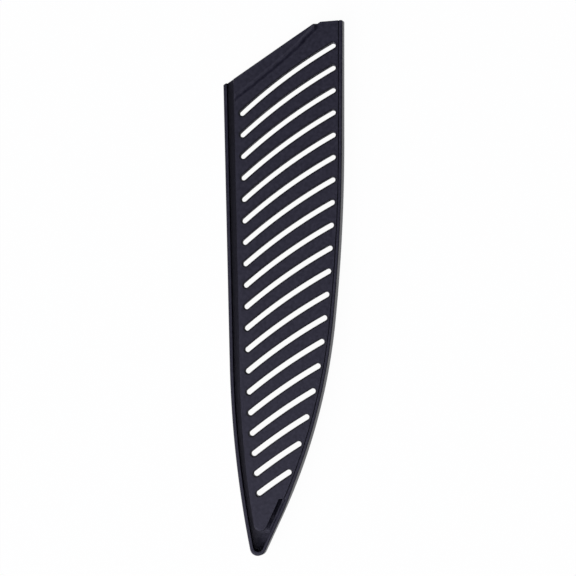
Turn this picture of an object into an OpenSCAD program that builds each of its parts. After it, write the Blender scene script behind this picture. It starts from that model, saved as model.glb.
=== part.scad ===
// Slotted guard for the blade of a 200 mm chef's knife, moulded in black plastic.
// It lies on its back: X runs from the spine side to the cutting edge side,
// Y runs from the tip to the mouth and Z through the thickness.
// All outline values are measured from the heel end, the highest point of the mouth.

/* [Outline] */
// Width across the mouth end
guard_w = 49.5; // [48:0.1:51]
// Distance from the heel end to the start of the belly
belly_start = 50; // [46:0.5:54]
// Radius of the long, gentle part of the belly
belly_r1 = 745; // [700:5:800]
// Turn of the gentle part of the belly, in degrees
belly_turn = 5.7; // [5:0.1:6.2]
// Radius of the rounder part of the belly
belly_r2 = 249; // [245:1:255]
// Angle between the edge side and the Y axis at the tip, in degrees
tip_angle = 24.8; // [24:0.1:25.6]
// Lean of the spine side, in degrees
spine_lean = 1.3; // [1:0.1:1.6]
// Distance from the heel end to the start of the spine's drop
spine_bend = 140.5; // [136:0.5:145]
// Radius of the spine's drop towards the tip
spine_r = 445; // [430:5:460]
// Radius of the rounded tip
tip_r = 3.5; // [3.2:0.1:3.6]

/* [Mouth] */
// Slant of the mouth, in degrees
mouth_slant = 34.7; // [34:0.1:35.4]
// Distance from the heel end to the lower end of the slanted mouth
mouth_low = 26.6; // [26:0.1:27.2]
// X of the notch at the upper end of the slanted mouth
notch_x = 12; // [11.6:0.1:12.4]
// Width of the notch
notch_w = 1.8; // [1.4:0.1:2.2]
// X of the start of the short square part of the mouth
step_x = 15; // [14.8:0.1:15.5]
// Slope of the short square part of the mouth, in degrees
heel_slope = 4.3; // [3.5:0.1:5.5]
// Corner radius at the spine end of the mouth
spine_corner_r = 0.3; // [0.2:0.1:0.8]
// Corner radius at the edge end of the mouth
edge_corner_r = 0.6; // [0.4:0.1:1.2]
// Distance that the front panel stays behind the slanted mouth of the back
panel_setback = 0.45; // [0.2:0.05:0.8]

/* [Section] */
// Thickness of the back plate
plate_t = 1.4; // [1.2:0.1:1.6]
// Free height of the blade space
blade_gap = 2.8; // [2.5:0.1:3.2]
// Thickness of the front panel
panel_t = 1.4; // [1.2:0.1:1.6]
// Width of the rim along the spine
spine_rim = 1.3; // [1.1:0.1:1.5]
// Width of the rim round the tip and along the tail slot
tip_rim = 1.65; // [1.6:0.05:1.75]
// Width of the rim along the cutting edge, out to the seam
edge_rim = 2.2; // [2:0.05:2.25]
// Width of the ledge that the front panel seats on
ledge_w = 1.1; // [0.9:0.1:1.1]
// Radius of the pocket's end at the tip
pocket_r = 2.1; // [2:0.1:2.3]
// Distance that the outer wall of the cutting edge side leans in over its height
edge_draft = 0.75; // [0.6:0.05:0.9]
// Radius of the rim's outer edge on the cutting edge side
edge_fillet = 0.3; // [0.2:0.1:0.4]
// Radius of the rim's outer edge on the spine side
spine_fillet = 0.4; // [0.3:0.1:0.5]
// Radius of the outer edge round the flat back
foot_fillet = 0.2; // [0.1:0.1:0.4]

/* [Front panel] */
// Width of the seam between the panel and the edge rim
seam = 0.15; // [0.12:0.01:0.2]
// Play between the panel and the ledge
seat_play = 0.1; // [0.08:0.01:0.15]
// Distance of the panel's free edge from the spine side at the mouth
panel_inset = 4.2; // [4:0.1:4.5]
// Lean of the panel's free edge, in degrees
panel_lean = 1.2; // [1.1:0.05:1.3]
// Distance from the heel end to the start of the free edge's drop
panel_bend = 146.5; // [144:0.5:149]
// Radius of the free edge's drop
panel_r = 406; // [400:1:412]
// Distance from the heel end to the top of the tail slot
tail_top = 196.3; // [195:0.1:198]
// Distance from the heel end to the lower end of the ledge
ledge_end = 208.3; // [206:0.1:209]
// Distance of the tail's edge from the cutting edge side
tail_inset = 4.1; // [3.9:0.1:4.3]
// Radius of the tail's end
tail_r = 2.7; // [2.5:0.1:2.9]
// Radius of the panel's free edges
panel_fillet = 0.4; // [0.2:0.1:0.6]

/* [Mouth lip] */
// Direction of the lip's ridge at its middle, in degrees from the X axis
lip_angle = 40.2; // [39.5:0.1:41]
// X of the middle of the ridge
ridge_x = -4.3; // [-4.7:0.1:-3.9]
// Distance from the heel end to the middle of the ridge
ridge_y = 18.8; // [18.5:0.1:19.1]
// Length of the ridge
ridge_l = 49; // [48.6:0.1:49.4]
// Radius of the ridge, seen from the front
ridge_r = 330; // [300:10:400]
// Height of the ridge over the panel
ridge_h = 0.8; // [0.5:0.1:1]
// Height of the lip behind the ridge, and of the lead-in under it
lip_h = 0.45; // [0.3:0.05:0.5]
// Width of the ridge's flank towards the slots
flank_w = 2.2; // [1.8:0.1:2.4]
// Width of the ridge's flank towards the mouth
back_w = 1.5; // [1:0.1:1.8]

/* [Slots] */
// Number of slots
slot_count = 19; // [18:1:19]
// Width of a slot
slot_w = 2.2; // [2:0.05:2.8]
// Radius of a slot's centre line
slot_r = 210; // [200:1:220]
// Direction of the first slot where it crosses X = 0, in degrees
slot_rise = 36.9; // [36:0.1:38]
// Distance from the heel end to where the first slot crosses X = 0
slot_first = 24.2; // [23.8:0.1:24.6]
// Distance from slot to slot
slot_pitch = 9.41; // [9.3:0.01:9.45]
// Lean of the row of slots, in degrees
slot_lean = 3; // [2.5:0.1:3.5]
// Distance of the slots from the spine side
slot_spine_gap = 6.4; // [6.2:0.1:6.8]
// Distance of the slots from the cutting edge side
slot_edge_gap = 3.4; // [3.4:0.1:3.8]

/* [Hidden] */
$fn = 64;

plastic = [0.17, 0.17, 0.20];
guard_t = plate_t + blade_gap + panel_t;
panel_z = plate_t + blade_gap;
over = 12;

// A side is [x, y, lean, bend, radius]: straight through (x, y), then an arc.
outer_spine = [-guard_w / 2, -mouth_low, spine_lean, -spine_bend, spine_r];
panel_spine = [panel_inset - guard_w / 2, -mouth_low, panel_lean, -panel_bend, panel_r];

function unit(a) = [cos(a), sin(a)];
function side_bend(s) = [s.x + (s.y - s[3]) * tan(s[2]), s[3]];
function side_centre(s) = side_bend(s) + s[4] * unit(s[2]);

// X of a side of the spine, moved inwards by d, at height y
function spine_x(s, d, y) =
    let (c = side_centre(s), r = s[4] - d)
    y > c.y - r * sin(s[2]) ? s.x + d / cos(s[2]) + (s.y - y) * tan(s[2])
                            : c.x - sqrt(r * r - (y - c.y) * (y - c.y));

// The belly: two arcs that run on into a straight line towards the tip
belly_c1 = [guard_w / 2 - belly_r1, -belly_start];
belly_p1 = belly_c1 + belly_r1 * unit(-belly_turn);
belly_c2 = belly_p1 - belly_r2 * unit(-belly_turn);
belly_p2 = belly_c2 + belly_r2 * unit(-tip_angle);

// X of the cutting edge side, moved inwards by d, at height y
function edge_x(d, y) =
    let (r1 = belly_r1 - d, r2 = belly_r2 - d)
    y > belly_c1.y ? guard_w / 2 - d
    : y > belly_c1.y - r1 * sin(belly_turn) ? belly_c1.x + sqrt(r1 * r1 - pow(y - belly_c1.y, 2))
    : y > belly_c2.y - r2 * sin(tip_angle) ? belly_c2.x + sqrt(r2 * r2 - pow(y - belly_c2.y, 2))
    : let (p = belly_c2 + r2 * unit(-tip_angle)) p.x + (y - p.y) * tan(tip_angle);

// Centre of the circle of radius r that touches the edge side, moved in by de,
// and the spine side s, moved in by ds
function tip_centre(de, s, ds, r) =
    let (along = -unit(90 - tip_angle),
         start = belly_p2 - (de + r) * unit(-tip_angle),
         w = start - side_centre(s),
         reach = s[4] - ds - r,
         b = w * along)
    start + (sqrt(b * b - w * w + reach * reach) - b) * along;

function steps(a, b, n) = [for (i = [0:n]) a + (b - a) * i / n];

// Outline from the mouth down the edge side, round the tip and up the spine side.
// de is the inset of the edge side down to y_step, and de_tail the inset below it.
function outline(de, de_tail, y_step, s, ds, r) =
    let (c = tip_centre(de_tail, s, ds, r),
         a_end = atan2(c.y - side_centre(s).y, c.x - side_centre(s).x),
         edge_low = c + r * unit(-tip_angle),
         spine_low = c + r * unit(a_end))
    concat(
        [[edge_x(de, over), over]],
        [for (y = steps(-belly_start, y_step, 48)) [edge_x(de, y), y]],
        [for (y = steps(y_step, edge_low.y, 4)) [edge_x(de_tail, y), y]],
        [for (a = steps(-tip_angle, a_end, 18)) if (a < -tip_angle) c + r * unit(a)],
        [for (y = steps(spine_low.y, s[3], 24)) if (y > spine_low.y) [spine_x(s, ds, y), y]],
        [[spine_x(s, ds, over), over]]);

// Inset at height z of an edge that is rounded over its radius r below z_top
function rounded(z, z_top, r) = z > z_top - r ? r - sqrt(max(0, r * r - pow(z - z_top + r, 2))) : 0;

// Solid through a stack of outlines with equal numbers of points
module loft(rings, heights) {
    n = len(rings[0]);
    m = len(rings);
    polyhedron(
        points = [for (k = [0:m - 1]) for (p = rings[k]) [p.x, p.y, heights[k]]],
        faces = concat(
            [[for (i = [n - 1:-1:0]) i]],
            [for (k = [0:m - 2]) for (i = [0:n - 1])
                [k * n + i, k * n + (i + 1) % n, (k + 1) * n + (i + 1) % n, (k + 1) * n + i]],
            [[for (i = [0:n - 1]) (m - 1) * n + i]]));
}

// Heights of the rings over a rounding of radius r, measured from its far edge
function arc_heights(r) = [for (a = [90:-22.5:0]) r - r * sin(a)];

// Insets of the edge side and of the spine side at height z
function edge_inset(z) = edge_draft * max(0, z - foot_fillet) / (guard_t - foot_fillet)
    + max(rounded(z, guard_t, edge_fillet), rounded(guard_t - z, guard_t, foot_fillet));
function spine_inset(z) = max(rounded(z, guard_t, spine_fillet), rounded(guard_t - z, guard_t, foot_fillet));

module outer_body() {
    heights = concat(arc_heights(foot_fillet), [for (i = [4:-1:0]) guard_t - arc_heights(spine_fillet)[i]]);
    rings = [for (z = heights)
        let (e = edge_inset(z), s = spine_inset(z))
        outline(e, e, -tail_top, outer_spine, s, tip_r - (e + s) / 2)];
    loft(rings, heights);
}

// Space behind the front panel, open at the mouth, with the ledge along the edge side
module cavity() {
    translate([0, 0, plate_t])
        linear_extrude(guard_t)
            polygon(outline(edge_rim + ledge_w, tip_rim, -ledge_end, outer_spine, spine_rim, pocket_r));
    translate([0, 0, panel_z - seat_play])
        linear_extrude(guard_t)
            polygon(outline(edge_rim, tip_rim, -tail_top, outer_spine, spine_rim, pocket_r));
}

// Arc of radius r in the corner p, from its side in direction a to its side in direction b
function corner_centre(p, a, b, r) = p + r / sin((b - a) / 2) * unit((a + b) / 2);
function corner(p, a, b, r) = [for (t = steps(a - 90, b - 270, 8)) corner_centre(p, a, b, r) + r * unit(t)];

heel = [guard_w / 2, 0];
heel_top = corner_centre(heel, 180 + heel_slope, 270, edge_corner_r).y + edge_corner_r;

// Everything beyond the mouth, where its slanted part is lowered by d
module beyond_mouth(d) {
    foot = [-guard_w / 2, -mouth_low - d];
    notch = foot + (notch_x - foot.x) * [1, tan(mouth_slant)];
    step_top = heel + (step_x - heel.x) * [1, tan(heel_slope)];
    translate([0, 0, -1])
        linear_extrude(guard_t + 4)
            polygon(concat(
                [[-guard_w, foot.y - 1]],
                corner(foot, spine_lean - 90, mouth_slant, spine_corner_r),
                [notch, notch + [notch_w, 0], step_top],
                corner(heel, 180 + heel_slope, 270, edge_corner_r),
                [[guard_w, -2], [guard_w, 2 * over], [-guard_w, 2 * over]]));
}

// Centre, and the angles of both ends, of the centre line of slot k
function slot_centre(k) = -slot_r * [-sin(slot_rise), cos(slot_rise)] - [0, slot_first]
    - k * slot_pitch * [sin(slot_lean), cos(slot_lean)];
function slot_y(c, x) = c.y + sqrt(slot_r * slot_r - pow(x - c.x, 2));
function slot_left(c, x = 0, n = 14) =
    n == 0 ? x : slot_left(c, spine_x(outer_spine, slot_spine_gap + slot_w / 2, slot_y(c, x)), n - 1);
function slot_right(c, x = 0, n = 14) =
    n == 0 ? x : slot_right(c, edge_x(slot_edge_gap + slot_w / 2, slot_y(c, x)), n - 1);

module slot(k) {
    c = slot_centre(k);
    left = [slot_left(c), slot_y(c, slot_left(c))] - c;
    right = [slot_right(c), slot_y(c, slot_right(c))] - c;
    translate([c.x, c.y, -1])
        linear_extrude(guard_t + 4) {
            intersection() {
                difference() {
                    circle(slot_r + slot_w / 2);
                    circle(slot_r - slot_w / 2);
                }
                polygon([[0, 0], 1.2 * left, 1.2 * right]);
            }
            translate(left)
                circle(slot_w / 2);
            translate(right)
                circle(slot_w / 2);
        }
}

module slots() {
    for (k = [0:slot_count - 1])
        slot(k);
}

// Puts the origin under the middle of the guard
module placed() {
    tip = tip_centre(0, outer_spine, 0, tip_r).y - tip_r;
    translate([0, -(heel_top + tip) / 2, 0])
        children();
}

module back_shell() {
    color(plastic)
        placed()
            difference() {
                outer_body();
                cavity();
                slots();
                beyond_mouth(0);
            }
}

module panel_plate() {
    heights = concat([panel_z], [for (i = [4:-1:0]) guard_t - arc_heights(panel_fillet)[i]]);
    rings = [for (z = heights)
        let (f = rounded(z, guard_t, panel_fillet))
        outline(edge_rim + seam + f / 2, tail_inset + f, f - tail_top, panel_spine, f, tail_r - f)];
    loft(rings, heights);
}

// Runs a section along the arc of the ridge. In the section x runs from the ridge to the mouth.
module along_ridge() {
    turn = ridge_l / ridge_r * 180 / PI;
    translate([ridge_x, -ridge_y, 0])
        rotate([0, 0, lip_angle])
            translate([0, ridge_r, 0])
                rotate([0, 0, -90 - turn / 2])
                    rotate_extrude(angle = turn, $fn = 16 * 360 / turn)
                        translate([ridge_r, 0])
                            mirror([1, 0])
                                children();
}

module lip() {
    root = -panel_t / 2;
    rise = [for (t = steps(0, 1, 8)) [flank_w * (t - 1), ridge_h * (1 - cos(180 * t)) / 2]];
    fall = [for (t = steps(0, 1, 6)) [back_w * t, ridge_h - (ridge_h - lip_h) * (1 - cos(180 * t)) / 2]];
    intersection() {
        along_ridge()
            translate([0, guard_t])
                polygon(concat([[-flank_w, root]], rise, fall, [[over, lip_h], [over, root]]));
        linear_extrude(2 * guard_t)
            polygon(outline(edge_rim + seam, tail_inset, -tail_top, panel_spine, panel_fillet, tail_r));
    }
}

// Lead-in for the blade, under the lip
module lead_in() {
    along_ridge()
        polygon([[0, 0], [0, panel_z], [back_w, panel_z + lip_h], [over, panel_z + lip_h], [over, 0]]);
}

module front_panel() {
    color(plastic)
        placed()
            difference() {
                union() {
                    panel_plate();
                    lip();
                }
                lead_in();
                slots();
                beyond_mouth(panel_setback);
            }
}

back_shell();
front_panel();
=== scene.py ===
import math

import bmesh
import bpy
import numpy as np
from mathutils import Matrix, Vector
from mathutils.geometry import delaunay_2d_cdt


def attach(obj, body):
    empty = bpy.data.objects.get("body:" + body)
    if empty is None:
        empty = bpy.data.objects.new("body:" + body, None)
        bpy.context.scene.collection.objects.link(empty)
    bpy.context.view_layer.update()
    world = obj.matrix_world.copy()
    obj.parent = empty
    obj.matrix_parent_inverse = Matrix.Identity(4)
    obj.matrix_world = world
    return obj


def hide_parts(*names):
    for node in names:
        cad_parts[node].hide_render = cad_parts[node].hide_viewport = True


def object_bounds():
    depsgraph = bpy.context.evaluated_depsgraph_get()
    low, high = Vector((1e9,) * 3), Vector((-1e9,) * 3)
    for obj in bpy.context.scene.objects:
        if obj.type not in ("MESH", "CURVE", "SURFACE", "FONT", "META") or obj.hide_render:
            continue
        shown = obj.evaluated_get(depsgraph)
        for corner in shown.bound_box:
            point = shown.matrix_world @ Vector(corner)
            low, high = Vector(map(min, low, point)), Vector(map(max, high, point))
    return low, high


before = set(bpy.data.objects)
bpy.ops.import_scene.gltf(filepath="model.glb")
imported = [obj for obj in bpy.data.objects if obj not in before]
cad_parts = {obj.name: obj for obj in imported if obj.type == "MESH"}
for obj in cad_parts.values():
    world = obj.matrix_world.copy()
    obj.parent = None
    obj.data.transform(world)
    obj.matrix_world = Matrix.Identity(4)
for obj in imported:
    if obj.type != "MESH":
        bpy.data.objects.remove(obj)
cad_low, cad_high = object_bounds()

scene = bpy.context.scene
scene.view_settings.view_transform = "Standard"


# The camera hangs over the guard like that of a product shot, a little towards
# the cutting edge side and the tip, and looks down at the middle of the guard.
camera_eye = Vector((0.0640, -0.01719, 1.3056))
camera_aim = Vector((0.0018, 0.00001, 0.0056))
camera_lens = 198.6
camera_far = 20

back = (camera_eye - camera_aim).normalized()
up = (Vector((0, 1, 0)) - back.y * back).normalized()
camera = bpy.data.objects.new("camera", bpy.data.cameras.new("camera"))
camera.data.lens = camera_lens
camera.data.clip_end = camera_far
turned = Matrix((up.cross(back), up, back)).transposed().to_4x4()
camera.matrix_world = Matrix.Translation(camera_eye) @ turned
scene.collection.objects.link(camera)
scene.camera = camera


class Shade:
    """A socket of a material's nodes. Arithmetic on it adds Math nodes."""

    def __init__(self, tree, socket=None):
        self.tree = tree
        self.socket = socket

    def node(self, kind, settings, values, output=0):
        """Adds a node: its settings first, then its sockets. Gives one of its outputs."""
        made = self.tree.nodes.new("ShaderNode" + kind)
        for name, value in settings.items():
            setattr(made, name, value)
        for name, value in values.items():
            if isinstance(value, Shade):
                self.tree.links.new(value.socket, made.inputs[name])
            else:
                made.inputs[name].default_value = value
        return Shade(self.tree, made.outputs[output] if len(made.outputs) else None)

    def maths(self, operation, first, second):
        return self.node("Math", {"operation": operation}, {0: first, 1: second})

    def __add__(self, other):
        return self.maths("ADD", self, other)

    def __radd__(self, other):
        return self.maths("ADD", other, self)

    def __sub__(self, other):
        return self.maths("SUBTRACT", self, other)

    def __rsub__(self, other):
        return self.maths("SUBTRACT", other, self)

    def __mul__(self, other):
        return self.maths("MULTIPLY", self, other)

    def __rmul__(self, other):
        return self.maths("MULTIPLY", other, self)


def blank(owner):
    """The empty node tree of a material or world, to add nodes to."""
    owner.use_nodes = True
    owner.node_tree.nodes.clear()
    return Shade(owner.node_tree)


# The floor is a sheet of white studio board. It takes the guard's soft shadow and
# looks plain white to the camera and in reflections.
floor_half = 6.0
floor_z = -0.00002
floor_grey = 0.9
floor_glow = 0.97

floor_mesh = bpy.data.meshes.new("floor")
corners = [(x * floor_half, y * floor_half, floor_z) for x, y in ((-1, -1), (1, -1), (1, 1), (-1, 1))]
floor_mesh.from_pydata(corners, [], [(0, 1, 2, 3)])
floor = bpy.data.objects.new("floor", floor_mesh)
scene.collection.objects.link(floor)
board = bpy.data.materials.new("white_board")
nodes = blank(board)
camera_ray = nodes.node("LightPath", {}, {}, "Is Camera Ray")
glossy_ray = nodes.node("LightPath", {}, {}, "Is Glossy Ray")
glass_ray = nodes.node("LightPath", {}, {}, "Is Transmission Ray")
seen = nodes.node("Clamp", {}, {"Value": camera_ray + glossy_ray + glass_ray})
lit = nodes.node("BsdfDiffuse", {}, {"Color": (floor_grey, floor_grey, floor_grey, 1)})
glow = nodes.node("Emission", {}, {"Strength": 1.0})
mixed = nodes.node("MixShader", {}, {0: seen * floor_glow, 1: lit, 2: glow})
nodes.node("OutputMaterial", {}, {"Surface": mixed})
floor_mesh.materials.append(board)


# The light is a dim studio with soft white panels, each a smooth spot on the world:
# its angle from the zenith, its bearing from +X, its half width and its strength.
# Area lamps near the tip brighten the guard towards its lower end.
panels = {
    "tip_left": (60, 225, 30, 7.0),
    "spine_side": (60, 180, 30, 1.0),
    "mouth_left": (60, 135, 30, 1.65),
    "overhead": (16, 270, 20, 1.7),
}
lamps = {
    "tip_softbox": ((-0.25, -0.5, 0.8), 0.6, 2.3),
}
light_tint = (0.97, 0.97, 1.06)

room = bpy.data.worlds.new("room")
scene.world = room
nodes = blank(room)
view = nodes.node("TexCoord", {}, {}, "Generated")
strength = 0
for zenith, bearing, half, power in panels.values():
    zenith, bearing, half = (math.radians(angle) for angle in (zenith, bearing, half))
    way = (math.sin(zenith) * math.cos(bearing), math.sin(zenith) * math.sin(bearing), math.cos(zenith))
    near = nodes.node("VectorMath", {"operation": "DOT_PRODUCT"}, {0: view, 1: way}, "Value")
    spot = {"Value": near, "From Min": math.cos(half)}
    strength = strength + power * nodes.node("MapRange", {"interpolation_type": "SMOOTHSTEP"}, spot)
light = nodes.node("Background", {}, {"Color": (*light_tint, 1), "Strength": strength})
white = nodes.node("Background", {}, {"Color": (1, 1, 1, 1), "Strength": 1.0})
camera_ray = nodes.node("LightPath", {}, {}, "Is Camera Ray")
mixed = nodes.node("MixShader", {}, {0: camera_ray, 1: light, 2: white})
nodes.node("OutputWorld", {}, {"Surface": mixed})
for name, (place, size, power) in lamps.items():
    lamp = bpy.data.objects.new(name, bpy.data.lights.new(name, "AREA"))
    lamp.data.energy = power
    lamp.data.size = size
    lamp.data.color = light_tint
    lamp.location = place
    lamp.rotation_euler = (-Vector(place)).to_track_quat("-Z", "Y").to_euler()
    scene.collection.objects.link(lamp)


# Back shell: one injection moulding in black polypropylene. A slotted plate with a
# rim along the spine and round the tip, and a taller wall along the cutting edge
# with a ledge for the front panel. Sizes are in millimetres from the heel end.
mm = 0.001
guard_w = 49.5
mouth_low = 26.6
mouth_slant = 34.7
notch_x = 12.0
notch_w = 1.8
step_x = 15.0
heel_slope = 4.3
spine_corner_r = 0.3
edge_corner_r = 0.6
notch_r = 0.4
belly_start = -50.0
belly_r1 = 745.0
belly_turn = 5.7
belly_r2 = 249.0
tip_angle = 24.8
tip_r = 3.5
plate_top = 1.4
ledge_top = 4.1
rim_top = 5.6
spine_rim = 1.4
tip_rim = 1.65
edge_rim = 2.12
ledge_w = 0.75
tail_top = -196.3
ledge_end = -208.3
ledge_run = 3.0
pocket_r = 2.1
edge_draft = 0.8
heel_draft = 0.55
tip_draft = 0.4
edge_fillet = 0.4
spine_fillet = 0.4
foot_fillet = 0.2
mouth_fillet = 0.15
arris_r = 0.2
rim_arris = 0.1
hollow_r = 0.3
corner_r = 0.2
side_step = 2.0
mouth_step = 0.6
arc_step = 9.0
arris_steps = 4


def away(degrees):
    """Unit vector at that angle from the X axis."""
    turn = math.radians(degrees)
    return np.array((math.cos(turn), math.sin(turn)))


def swell(t):
    """Rises smoothly from 0 to 1 as t does."""
    t = np.clip(t, 0, 1)
    return t * t * (3 - 2 * t)


class SpineSide:
    """A side that leans by some degrees down to the height bend, then drops towards the tip on an arc."""

    def __init__(self, x, lean, bend, radius):
        self.x = x
        self.lean = math.radians(lean)
        self.radius = radius
        self.centre = np.array((x - (mouth_low + bend) * math.tan(self.lean), bend)) + radius * away(lean)

    def at(self, inset, y):
        """X of the side, moved inwards by inset, at the height y."""
        radius = self.radius - inset
        if y > self.centre[1] - radius * math.sin(self.lean):
            return self.x + inset / math.cos(self.lean) - (mouth_low + y) * math.tan(self.lean)
        return self.centre[0] - math.sqrt(radius**2 - (y - self.centre[1]) ** 2)


shell_spine = SpineSide(-guard_w / 2, 1.3, -140.5, 445.0)
belly_c1 = np.array((guard_w / 2 - belly_r1, belly_start))
belly_c2 = belly_c1 + (belly_r1 - belly_r2) * away(-belly_turn)


def edge_at(inset, y):
    """X of the cutting edge side, moved inwards by inset, at the height y."""
    r1 = belly_r1 - inset
    r2 = belly_r2 - inset
    if y > belly_start:
        return guard_w / 2 - inset
    if y > belly_c1[1] + r1 * away(-belly_turn)[1]:
        return belly_c1[0] + math.sqrt(r1**2 - (y - belly_c1[1]) ** 2)
    low = belly_c2 + r2 * away(-tip_angle)
    if y > low[1]:
        return belly_c2[0] + math.sqrt(r2**2 - (y - belly_c2[1]) ** 2)
    return low[0] + (y - low[1]) * math.tan(math.radians(tip_angle))


def tip_arc(edge_inset, spine, spine_inset, radius):
    """The arc that joins the edge side and the spine side, clockwise round the tip."""
    along = -away(90 - tip_angle)
    start = belly_c2 + (belly_r2 - edge_inset - radius) * away(-tip_angle)
    gap = start - spine.centre
    reach = spine.radius - spine_inset - radius
    centre = start + (math.sqrt((gap @ along) ** 2 - gap @ gap + reach**2) - gap @ along) * along
    last = math.degrees(math.atan2(*(centre - spine.centre)[::-1]))
    n = round((-tip_angle - last) / arc_step)
    return [centre + radius * away(-tip_angle + (last + tip_angle) * i / n) for i in range(n + 1)]


def down(top, low, *stops):
    """Heights from top to low, a side step apart, passing through the stops between them."""
    ends = [top] + [y for y in stops if low < y < top] + [low]
    found = [top]
    for a, b in zip(ends, ends[1:]):
        n = math.ceil((a - b) / side_step)
        found += [a + (b - a) * i / n for i in range(1, n)] + [b]
    return found


def between(a, b, step):
    """Points on the straight line from a to b, without its ends."""
    n = math.ceil(np.linalg.norm(b - a) / step)
    return [a + (b - a) * i / n for i in range(1, n)]


def fillet(before, corner, after, radius):
    """The arc of that radius in the corner of the path before, corner, after."""
    a = (before - corner) / np.linalg.norm(before - corner)
    b = (after - corner) / np.linalg.norm(after - corner)
    half = math.acos(a @ b) / 2
    centre = corner + (a + b) / np.linalg.norm(a + b) * radius / math.sin(half)
    first = corner + a * radius / math.tan(half) - centre
    last = corner + b * radius / math.tan(half) - centre
    turn = math.pi - 2 * half
    n = max(2, round(math.degrees(turn) / arc_step))
    return [centre + (math.sin(turn * (1 - i / n)) * first + math.sin(turn * i / n) * last) / math.sin(turn)
            for i in range(n + 1)]


def inwards(loop):
    """For each point of a clockwise loop, the way to move for an inset of 1. Double points move alike."""
    loop = np.array(loop)
    fresh = np.linalg.norm(loop - np.roll(loop, 1, 0), axis=1) > 1e-6
    path = loop[fresh]
    step = np.roll(path, -1, 0) - path
    step /= np.linalg.norm(step, axis=1)[:, None]
    right = np.stack((step[:, 1], -step[:, 0]), 1)
    left = np.roll(right, 1, 0)
    way = (right + left) / (1 + (right * left).sum(1))[:, None]
    return way[np.cumsum(fresh) - 1]


class Skin:
    """The surface of one moulding, made of closed rings of points with bands and flats between them."""

    def __init__(self):
        self.points = []
        self.polish_and_shade = []
        self.faces = []

    def ring(self, loop, z, polish_and_shade=0.0):
        start = len(self.points)
        self.points += [(x, y, h) for (x, y), h in zip(loop, np.broadcast_to(z, len(loop)))]
        self.polish_and_shade += list(np.broadcast_to(polish_and_shade, len(loop)))
        return list(range(start, len(self.points)))

    def rounding(self, loop, face, radius, towards_wall, side=1, land=0.0):
        """Rings from the wall below or above a face to the face, over an arris, or a hollow where side is -1.
        face gives the height of the face at points, and towards_wall is 1 or -1, the way up or down to the wall.
        Where the arris is, the rings are marked for a smoother finish and for painted shade, and with a land also
        on the face next to it."""
        loop = np.array(loop)
        way = inwards(loop)
        radius = np.broadcast_to(radius, len(loop))
        rings = []
        for turn in np.linspace(0, math.pi / 2, arris_steps + 1):
            moved = loop + way * (side * radius * (1 - math.cos(turn)))[:, None]
            z = face(moved) + towards_wall * radius * (1 - math.sin(turn))
            # Arrises, not hollows, get the mark that makes them smoother and paints shade on them.
            rings.append(self.ring(moved, z, (radius > 0) * math.sin(turn if land else 2 * turn) * (side > 0)))
        if land:
            for width, polish_and_shade in ((land, 1), (0.1, 0)):
                moved = moved + way * width
                rings.append(self.ring(moved, face(moved), polish_and_shade))
        return rings

    def band(self, rings):
        for low, high in zip(rings, rings[1:]):
            for i in range(len(low)):
                self.faces.append((low[i - 1], low[i], high[i], high[i - 1]))

    def flat(self, rings, extra=()):
        """Fills the first ring, round the others, with triangles that also use the extra points.
        The holes are filled as well at first. Their triangles run the way of their own ring."""
        names = []
        edges = []
        owner = []
        for ring in rings:
            fresh = [i for i, j in zip(ring, ring[-1:] + ring[:-1])
                     if np.linalg.norm(np.subtract(self.points[i], self.points[j])) > 1e-6]
            start = len(names)
            names += fresh
            owner += [ring[0]] * len(fresh)
            edges += [(start + i, start + (i + 1) % len(fresh)) for i in range(len(fresh))]
        names += extra
        owner += extra
        places = [Vector(self.points[i][:2]) for i in names]
        _, _, triangles, found, _, _ = delaunay_2d_cdt(places, edges, [], 2, 1e-6)
        for triangle in triangles:
            a, b, c = (found[i][0] for i in triangle)
            if not (owner[a] == owner[b] == owner[c] and (a < b) + (b < c) + (c < a) == 2):
                self.faces.append((names[a], names[b], names[c]))

    def build(self, name):
        """The finished mesh object, in metres, with the heel end where the frame has it."""
        shift = np.array((0, cad_high.y - heel_top * mm, 0))
        mesh = bpy.data.meshes.new(name)
        mesh.from_pydata((np.array(self.points) * mm + shift).tolist(), [], self.faces)
        # The arrises' mark, for a smoother finish and painted shade in the material.
        polish_and_shade = mesh.attributes.new("polish_and_shade", "FLOAT", "POINT")
        polish_and_shade.data.foreach_set("value", self.polish_and_shade)
        shape = bmesh.new()
        shape.from_mesh(mesh)
        bmesh.ops.remove_doubles(shape, verts=shape.verts, dist=0.001 * mm)
        bmesh.ops.dissolve_degenerate(shape, edges=shape.edges, dist=0.0001 * mm)
        bmesh.ops.recalc_face_normals(shape, faces=shape.faces)
        shape.to_mesh(mesh)
        shape.free()
        mesh.shade_smooth()
        piece = bpy.data.objects.new(name, mesh)
        scene.collection.objects.link(piece)
        weigh = piece.modifiers.new("weighted_normals", "WEIGHTED_NORMAL")
        weigh.weight = 100
        return piece


# The slots, 19 in a row, each on an arc. They go through both mouldings.
slot_count = 19
slot_w = 2.2
slot_arc_r = 210.0
slot_rise = 36.9
slot_first = 24.27
slot_pitch = 9.41
slot_bow = 0.33
slot_lean = 3.0
slot_spine_gap = 6.4
slot_edge_gap = 3.4


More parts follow.
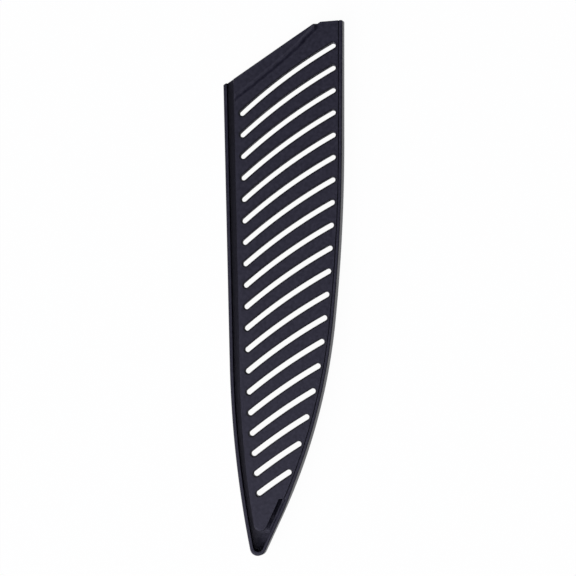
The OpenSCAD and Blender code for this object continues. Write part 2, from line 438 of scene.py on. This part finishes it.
def slot_loop(k):
    """Outline of slot k, anticlockwise, so that the plastic is on its right as on a clockwise outline."""
    bow = slot_bow * (2 * k / (slot_count - 1) - 1) ** 2
    centre = -slot_arc_r * away(slot_rise + 90) - (0, slot_first - bow) - k * slot_pitch * away(90 - slot_lean)
    x_left = x_right = 0
    for _ in range(14):
        y_left = centre[1] + math.sqrt(slot_arc_r**2 - (x_left - centre[0]) ** 2)
        y_right = centre[1] + math.sqrt(slot_arc_r**2 - (x_right - centre[0]) ** 2)
        x_left = shell_spine.at(slot_spine_gap + slot_w / 2, y_left)
        x_right = edge_at(slot_edge_gap + slot_w / 2, y_right)
    left = math.degrees(math.atan2(y_left - centre[1], x_left - centre[0]))
    right = math.degrees(math.atan2(y_right - centre[1], x_right - centre[0]))
    n = math.ceil(math.radians(left - right) * slot_arc_r / side_step)
    m = round(180 / arc_step)
    sweep = [left + (right - left) * i / n for i in range(n + 1)]
    right_end = centre + slot_arc_r * away(right)
    left_end = centre + slot_arc_r * away(left)
    lower = [centre + (slot_arc_r - slot_w / 2) * away(a) for a in sweep]
    upper = [centre + (slot_arc_r + slot_w / 2) * away(a) for a in reversed(sweep)]
    right_cap = [right_end + slot_w / 2 * away(right - 180 + 180 * i / m) for i in range(1, m)]
    left_cap = [left_end + slot_w / 2 * away(left + 180 * i / m) for i in range(1, m)]
    return np.array(lower + right_cap + upper + left_cap)


def level(z):
    """A flat face at the height z."""
    return lambda points: np.full(len(points), z)


foot = np.array((-guard_w / 2, -mouth_low))
notch = foot + (notch_x - foot[0]) * np.array((1, math.tan(math.radians(mouth_slant))))
notch_end = notch + (notch_w, 0)
heel = np.array((guard_w / 2, 0.0))
step_top = heel + (step_x - heel[0]) * np.array((1, math.tan(math.radians(heel_slope))))
heel_arc = fillet(step_top, heel, heel - (0, 5), edge_corner_r)
heel_top = max(y for x, y in heel_arc)


def on_slant(spine, inset, drop):
    """Where the slanted mouth, lowered by drop, meets a spine side moved inwards."""
    y = -mouth_low
    for _ in range(8):
        x = spine.at(inset, y)
        y = foot[1] - drop + (x - foot[0]) * math.tan(math.radians(mouth_slant))
    return np.array((x, y))


def on_heel(inset):
    """Where the short square part of the mouth meets the edge side moved inwards."""
    return heel + inset * np.array((-1, -math.tan(math.radians(heel_slope))))


def facing(loop):
    """The way that the wall faces at each point of a loop."""
    faces = -inwards(loop)
    return faces / np.linalg.norm(faces, axis=1)[:, None]


def edge_side(loop):
    """1 on the edge side and 0 on the spine side, with a smooth change round the tip."""
    return swell((facing(loop)[:, 0] + 0.9) / 1.8)


def far_from(points, path):
    """The least distance of points from a path, and the gaps that show on which side of it they are."""
    points, path = np.array(points), np.array(path)
    side = np.diff(path, axis=0)
    gap = points[:, None] - path[None, :-1]
    part = np.clip((gap * side).sum(2) / (side * side).sum(1), 0, 1)
    return np.linalg.norm(gap - part[:, :, None] * side, axis=2).min(1), gap, side


def near_mouth(loop, radius, small, drop):
    """Eases the radius of an arris at the points of a loop to a small one close to the mouth, lowered by drop."""
    far, _, _ = far_from(loop, np.array([foot, notch, notch_end, step_top, heel]) - (0, drop))
    return small + (radius - small) * swell((far - spine_corner_r) / 2)


def drafted(loop, z):
    """A loop round the outside at the height z, where the outer wall of the edge side leans in."""
    moved = np.array(loop)
    up = max(0, z - foot_fillet) / (rim_top - foot_fillet)
    draft = heel_draft + (edge_draft - heel_draft) * swell(-moved[:, 1] / 60)
    lean = up * (draft + (tip_draft - edge_draft) * swell((-188 - moved[:, 1]) / 14))[:, None]
    side = np.s_[:len(flank)]
    end = np.s_[-len(heel_arc):]
    moved[side] += (inwards(loop) * edge_side(loop)[:, None] * lean)[side]
    moved[end] += on_heel(up * heel_draft) - heel
    return moved


foot_low = np.array((shell_spine.at(0, -mouth_low - 2), -mouth_low - 2))
foot_arc = fillet(foot_low, foot, notch, spine_corner_r)
tip = tip_arc(0, shell_spine, 0, tip_r)
flank = [(edge_at(0, y), y) for y in down(heel_arc[-1][1], tip[0][1])[1:-1]] + tip
flank += [(shell_spine.at(0, y), y) for y in down(foot_arc[0][1], tip[-1][1])[-2:0:-1]]

# The rim's ends at the mouth have rounded corners too, where its inner walls start.
left_corner = on_slant(shell_spine, spine_rim, 0)
left_low = left_corner - (0, 3)
left_low[0] = shell_spine.at(spine_rim, left_low[1])
left_in = fillet(foot, left_corner, left_low, corner_r)
pocket = tip_arc(tip_rim, shell_spine, spine_rim, pocket_r)
inner_spine = [(shell_spine.at(spine_rim, y), y) for y in down(left_in[-1][1], pocket[-1][1])[1:-1]]


def ledge_at(y):
    """X of the ledge's free side, which runs out into the tip's rim below the ledge's end."""
    rest = swell((y - ledge_end) / ledge_run + 1)
    return edge_at(tip_rim + (edge_rim + ledge_w - tip_rim) * rest, y)


ledge_line, wall_line = (fillet(on_heel(inset) - (0, 3), on_heel(inset), heel, corner_r)
                         for inset in (edge_rim + ledge_w, edge_rim))
mouth_left = left_in[0]
mouth_right = ledge_line[-1]
wall_in = wall_line[-1]
ledge_loop = flank + foot_arc + left_in + inner_spine + pocket[::-1]
wall_loop = list(ledge_loop)
stops = [tail_top] + [ledge_end - ledge_run * i / 5 for i in range(6)]
ups = down(ledge_line[0][1], pocket[0][1], *stops)[-2:0:-1]
turn = ups.index(tail_top)
ledge_loop += [(ledge_at(y), y) for y in ups[:turn + 1] + ups[turn:]] + ledge_line + [wall_in] + heel_arc
wall_loop += [(edge_at(tip_rim, y), y) for y in ups[:turn + 1]] + [(edge_at(edge_rim, y), y) for y in ups[turn:]]
wall_loop += wall_line + [wall_in] + heel_arc
notches = fillet(foot, notch, notch_end, notch_r) + fillet(notch, notch_end, step_top, notch_r)
notches += fillet(notch_end, step_top, heel, notch_r)
mouth_line = between(mouth_left, notches[0], mouth_step) + notches + between(notches[-1], mouth_right, mouth_step)
plate_loop = flank + foot_arc + [mouth_left] + mouth_line + [mouth_right, wall_in] + heel_arc


def run_out(path, bare, length):
    """Grows from 0 to 1 along a path, and back, over a length that starts bare of both of its ends."""
    far = np.concatenate(([0], np.cumsum(np.linalg.norm(np.diff(path, axis=0), axis=1))))
    return swell((np.minimum(far, far[-1] - far) - bare) / length)


shell = Skin()
mouth_start = len(flank) + len(foot_arc)
mouth_end = mouth_start + len(mouth_line) + 1
inner_end = len(ledge_loop) - len(heel_arc) - 2
mouth_arris = np.zeros(len(plate_loop))
mouth_arris[mouth_start:mouth_end + 1] = arris_r * run_out(plate_loop[mouth_start:mouth_end + 1], 2 * hollow_r, 1)
hollow = np.zeros(len(ledge_loop))
pocket_end = mouth_start + len(left_in + inner_spine + pocket)
hollow[mouth_start:pocket_end] = hollow_r * run_out(ledge_loop[mouth_start:pocket_end], 2 * hollow_r, 1)
crown_arris = spine_fillet + (edge_fillet - spine_fillet) * edge_side(wall_loop)
crown_arris[mouth_start:inner_end + 1] = rim_arris
crown_arris = near_mouth(wall_loop, crown_arris, mouth_fillet, 0)
shelf_arris = np.minimum(np.linalg.norm(np.subtract(ledge_loop, wall_loop), axis=1) / 2, arris_r)
shelf_arris[inner_end - len(ledge_line):] = 0

base = shell.rounding(plate_loop, level(0), near_mouth(plate_loop, foot_fillet, mouth_fillet, 0), 1)
deck = shell.rounding(drafted(plate_loop, plate_top), level(plate_top), mouth_arris, -1)
walls = shell.rounding(drafted(ledge_loop, plate_top), level(plate_top), hollow, 1, -1)
shelf = shell.rounding(drafted(ledge_loop, ledge_top), level(ledge_top), shelf_arris, -1)
crown = shell.rounding(drafted(wall_loop, rim_top), level(rim_top), crown_arris, -1)
shell.band(base[::-1] + deck)
shell.band(walls[::-1] + shelf + [shell.ring(drafted(wall_loop, ledge_top), ledge_top)] + crown)
slots_base = []
slots_deck = []
for k in range(slot_count):
    low_edge = shell.rounding(slot_loop(k), level(0), arris_r, 1)
    high_edge = shell.rounding(slot_loop(k), level(plate_top), arris_r, -1)
    shell.band(low_edge[::-1] + high_edge)
    slots_base.append(low_edge[-1])
    slots_deck.append(high_edge[-1])
shell.flat([base[-1]] + slots_base)
shell.flat([deck[-1][mouth_start:mouth_end + 1] + walls[-1][inner_end - 1:mouth_start:-1]] + slots_deck)
shell.flat([crown[-1]])
back_shell = shell.build("back_shell_moulding")


# Front panel: the second moulding, a slotted spring that is held along the cutting
# edge side and free on the spine side. Its mouth end is raised into a lip with a
# ridge, which leads the blade in. It seats on the shell's ledge.
panel_low = 4.2
panel_top = 5.6
panel_inset = edge_rim + 0.15
tail_inset = 4.1
tail_r = 2.7
panel_setback = 0.45
seam_arris = 0.2
free_arris = 0.15
under_arris = 0.15
slot_arris = 0.25
# The land is a band of painted shade beside each slot's top arris.
slot_land = 0.35
lip_nose = 0.2
lip_arris = 0.2
ridge_angle = 40.2
ridge_middle = np.array((-4.2, -18.92))
ridge_half = 24.5
ridge_bow = 330.0
ridge_h = 0.8
flank_w = 1.7
back_w = 1.35
ridge_hook = 0.5
lip_h = 0.45
lip_start = 2.0
lip_rise = 10.0
ridge_fade = 1.6
relief_step = 0.7
relief_fine = 0.2

panel_spine = SpineSide(4.2 - guard_w / 2, 1.2, -146.5, 406.0)
ridge_centre = ridge_middle + ridge_bow * away(ridge_angle + 90)


def by_ridge(points):
    """Distance of points from the ridge's upper end, along it, and from the ridge towards the mouth."""
    points = np.array(points)
    along = ridge_half - (points - ridge_middle) @ away(ridge_angle)
    bend = ridge_hook * swell((11 - along) / 5)
    return along, ridge_bow - np.linalg.norm(points - ridge_centre, axis=1) - bend


def lip_at(points):
    """Height of the lip behind the ridge, over the panel, and of the lead-in under it."""
    along, across = by_ridge(points)
    return lip_h * swell((along - lip_start) / lip_rise) * swell(across / back_w)


def over(points):
    """Height of the panel's front face."""
    along, across = by_ridge(points)
    lip = lip_h * swell((along - lip_start) / lip_rise)
    ridge = ridge_h * swell(across / flank_w + 1) - (ridge_h - lip) * swell(across / back_w)
    return panel_top + ridge * swell(along / ridge_fade)


def under(points):
    """Height of the panel's hidden face."""
    return panel_low + lip_at(points)


def depth_in(points, loop):
    """How deep points lie inside a loop, and below 0 how far outside."""
    path = np.append(loop, [loop[0]], axis=0)
    path = path[np.linalg.norm(np.diff(path, axis=0, prepend=[(0, 0)]), axis=1) > 1e-6]
    far, gap, side = far_from(points, path)
    a, b = path[:-1, 1], path[1:, 1]
    crossing = ((a > points[:, 1:]) != (b > points[:, 1:])) & (
        gap[:, :, 0] < gap[:, :, 1] / np.where(side[:, 1], side[:, 1], 1) * side[:, 0])
    return np.where(crossing.sum(1) % 2, far, -far)


lowered = np.array((0, -panel_setback))
heel_corner = on_heel(panel_inset)
step_out = np.array((edge_at(panel_inset, tail_top), tail_top))
step_in = np.array((edge_at(tail_inset, tail_top), tail_top))
top_right = fillet(step_top, heel_corner, heel_corner - (0, 3), hollow_r)
free_corner = on_slant(panel_spine, 0, panel_setback)
top_left = fillet(free_corner - (0, 3), free_corner, notch + lowered, spine_corner_r)
tail = tip_arc(tail_inset, panel_spine, 0, tail_r)
panel_loop = [(edge_at(panel_inset, y), y) for y in down(top_right[-1][1], tail_top + hollow_r)[1:-1]]
panel_loop += fillet(step_out + (0.1, 1), step_out, step_in, hollow_r)
panel_loop += fillet(step_out, step_in, step_in - (0.5, 1), hollow_r)
panel_loop += [(edge_at(tail_inset, y), y) for y in down(tail_top - hollow_r, tail[0][1])[1:-1]] + tail
panel_loop += [(panel_spine.at(0, y), y) for y in down(top_left[0][1], tail[-1][1])[-2:0:-1]] + top_left
turns = fillet(foot + lowered, notch + lowered, notch_end + lowered, notch_r)
turns += fillet(notch + lowered, notch_end + lowered, step_top, notch_r)
turns += fillet(notch_end + lowered, step_top, heel, notch_r)
panel_loop += between(top_left[-1], turns[0], mouth_step) + turns
panel_loop += between(turns[-1], top_right[0], mouth_step) + top_right

faces = facing(panel_loop)
spring_side = swell((0.2 - faces[:, 0]) / 0.4)
nose = swell(by_ridge(panel_loop)[1] / 2)
panel_arris = seam_arris + (free_arris - seam_arris + (lip_nose - free_arris) * nose) * spring_side
panel_arris = near_mouth(panel_loop, panel_arris, lip_arris, panel_setback)

panel = Skin()
slots_low = []
slots_high = []
low_edge = panel.rounding(panel_loop, under, under_arris, 1)
high_edge = panel.rounding(panel_loop, over, panel_arris, -1)
panel.band(low_edge[::-1] + high_edge)
for k in range(slot_count):
    slot_low = panel.rounding(slot_loop(k), under, under_arris, 1)
    slot_high = panel.rounding(slot_loop(k), over, slot_arris, -1, land=slot_land)
    panel.band(slot_low[::-1] + slot_high)
    slots_low.append(slot_low[-1])
    slots_high.append(slot_high[-1])
lines = list(np.arange(-flank_w, back_w, relief_fine)) + list(np.arange(back_w, 9, 2 * relief_step))
grid = [ridge_centre + (ridge_bow - v) * away(ridge_angle - 90 + math.degrees((ridge_half - u) / ridge_bow))
        for v in lines for u in np.arange(0, 46, relief_step)]
grid = np.array(grid)
keep = depth_in(grid, panel_loop) > free_arris + 0.25
for k in range(3):
    keep &= depth_in(grid, slot_loop(k)) < -slot_arris - slot_land - 0.2
grid = grid[keep]
panel.flat([low_edge[-1]] + slots_low, panel.ring(grid, under(grid)))
panel.flat([high_edge[-1]] + slots_high, panel.ring(grid, over(grid)))
front_panel = panel.build("front_panel_moulding")


# Plastic: black polypropylene straight from the mould. Its faces have the fine, even
# grain of a spark-eroded mould, and its edges are a little smoother and shinier.
# The arrises and the lands beside the slots are also painted almost black, as painted shade.
sheen_tint = (0.80, 0.78, 0.90, 1)


def plastic(name):
    material = bpy.data.materials.new(name)
    nodes = blank(material)
    place = nodes.node("TexCoord", {}, {}, "Object")
    grain = nodes.node("TexNoise", {}, {"Vector": place, "Scale": 2600.0, "Detail": 2.0})
    cloud = nodes.node("TexNoise", {}, {"Vector": place, "Scale": 700.0, "Detail": 3.0})
    mottle = nodes.node("MapRange", {}, {"Value": cloud, "From Min": 0.3, "From Max": 0.7})
    edge = nodes.node("Attribute", {"attribute_name": "polish_and_shade"}, {}, "Fac")
    bump = nodes.node("Bump", {}, {"Height": grain, "Strength": 0.5, "Distance": 0.00005})
    shades = {0: mottle, 6: (0.0055, 0.0052, 0.0130, 1), 7: (0.0175, 0.0168, 0.0290, 1)}
    face = nodes.node("Mix", {"data_type": "RGBA"}, shades, 2)
    # Painted shade: the marked arrises and slot lands are darkened almost to black.
    colour = nodes.node("Mix", {"data_type": "RGBA"}, {0: 0.9 * edge, 6: face, 7: (0.0008, 0.0008, 0.0020, 1)}, 2)
    rough = 0.40 + 0.10 * cloud - 0.08 * edge
    looks = {"Base Color": colour, "Roughness": rough, "IOR": 1.49, "Specular Tint": sheen_tint, "Normal": bump}
    skin = nodes.node("BsdfPrincipled", {}, looks)
    nodes.node("OutputMaterial", {}, {"Surface": skin})
    return material


for piece, node, body in ((back_shell, "back_shell", "shell"), (front_panel, "front_panel", "panel")):
    piece.data.materials.append(plastic(node + "_plastic"))
    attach(piece, body)
    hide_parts(node)
